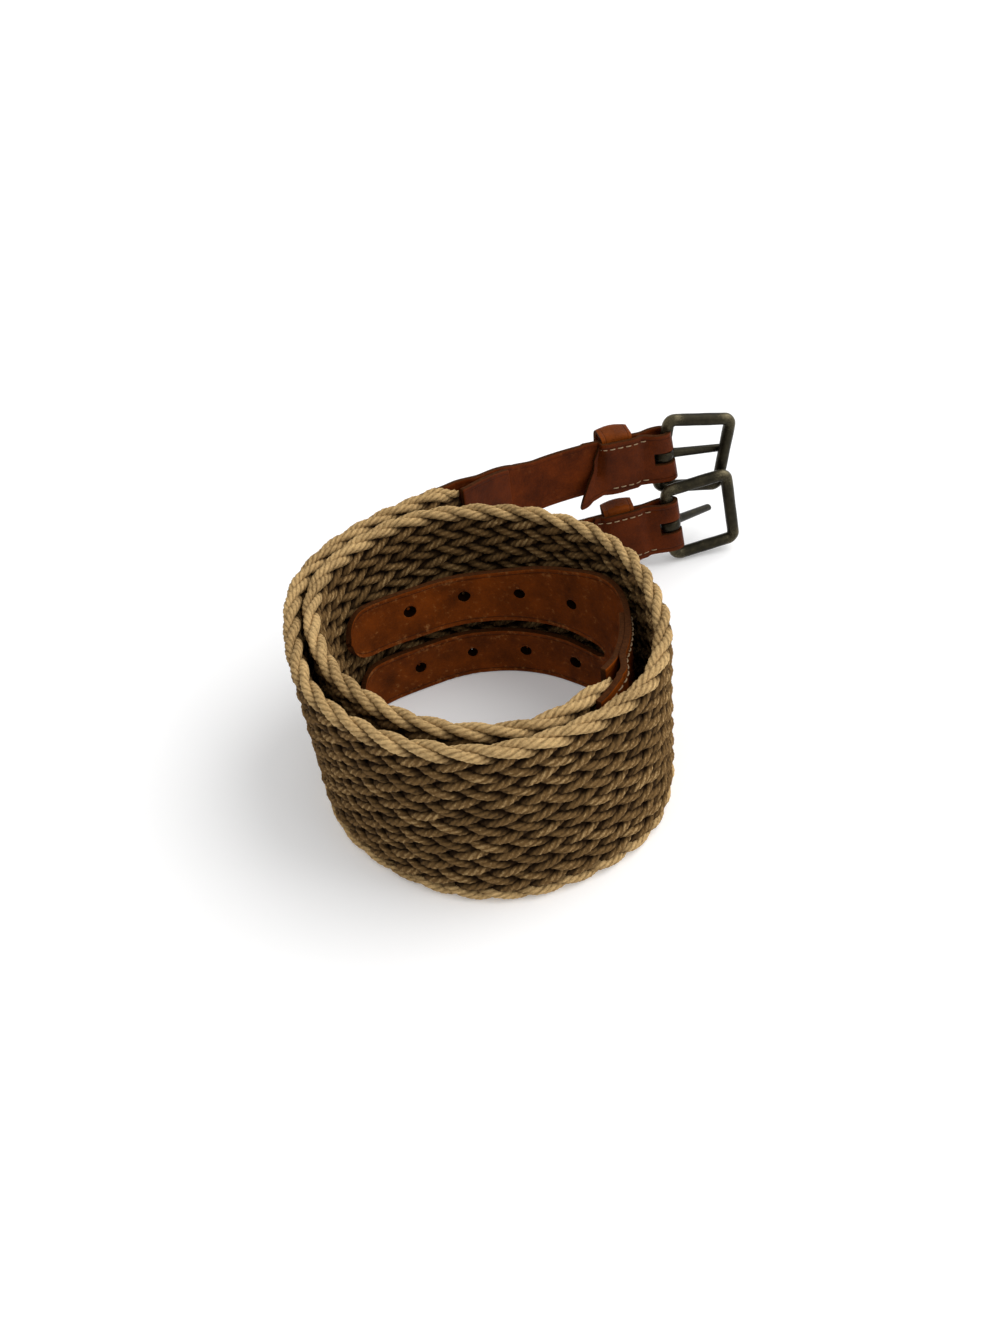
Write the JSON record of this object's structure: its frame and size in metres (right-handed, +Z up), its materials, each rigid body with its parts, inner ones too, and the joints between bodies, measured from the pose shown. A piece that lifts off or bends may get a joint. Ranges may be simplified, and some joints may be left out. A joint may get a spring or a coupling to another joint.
{
  "type": "braided belt",
  "caption": "Wide braided cord belt with leather ends and small buckles, rolled up and standing on its edge; it fastens round the waist or hips.",
  "frame": {"origin": "bottom centre of the bounding box, on the surface that the rolled belt stands on", "axes": "+Z up across the belt's width, +X the way the buckles point, +Y away from the viewer; the roll lies in the XY plane"},
  "size_m": [0.2012, 0.2154, 0.075],
  "materials": {
    "cord": "twisted cord, matt",
    "tip_leather": "cognac leather, half matt",
    "buckle_leather": "reddish brown leather, half matt",
    "aged_brass": "dark aged brass, rubbed bright at the corners"
  },
  "bodies": {
    "belt": {"braid_band": "cord", "tip_leather": "tip_leather", "tip_facing": "tip_leather", "buckle_leather": "buckle_leather", "buckle_facing": "buckle_leather", "upper_keeper": "tip_leather", "lower_keeper": "tip_leather"},
    "upper_frame": {"upper_buckle_frame": "aged_brass"},
    "upper_prong": {"upper_prong": "aged_brass"},
    "lower_frame": {"lower_buckle_frame": "aged_brass"},
    "lower_prong": {"lower_prong": "aged_brass"}
  },
  "joints": [
    {"name": "upper_frame_hinge", "type": "hinge", "parent": "belt", "child": "upper_frame", "pos_m": [0.06572, 0.09543, 0.05169], "axis": [0.1765, 0.0485, 0.9831], "range_deg": [0, 60]},
    {"name": "upper_prong_hinge", "type": "hinge", "parent": "upper_frame", "child": "upper_prong", "pos_m": [0.06572, 0.09543, 0.05169], "axis": [0.1765, 0.0485, 0.9831], "range_deg": [0, 60]},
    {"name": "lower_frame_hinge", "type": "hinge", "parent": "belt", "child": "lower_frame", "pos_m": [0.06685, 0.08599, 0.01929], "axis": [-0.1081, 0.1356, 0.9848], "range_deg": [-60, 0]},
    {"name": "lower_prong_hinge", "type": "hinge", "parent": "lower_frame", "child": "lower_prong", "pos_m": [0.06685, 0.08599, 0.01929], "axis": [-0.1081, 0.1356, 0.9848], "range_deg": [-26, 60]}
  ]
}
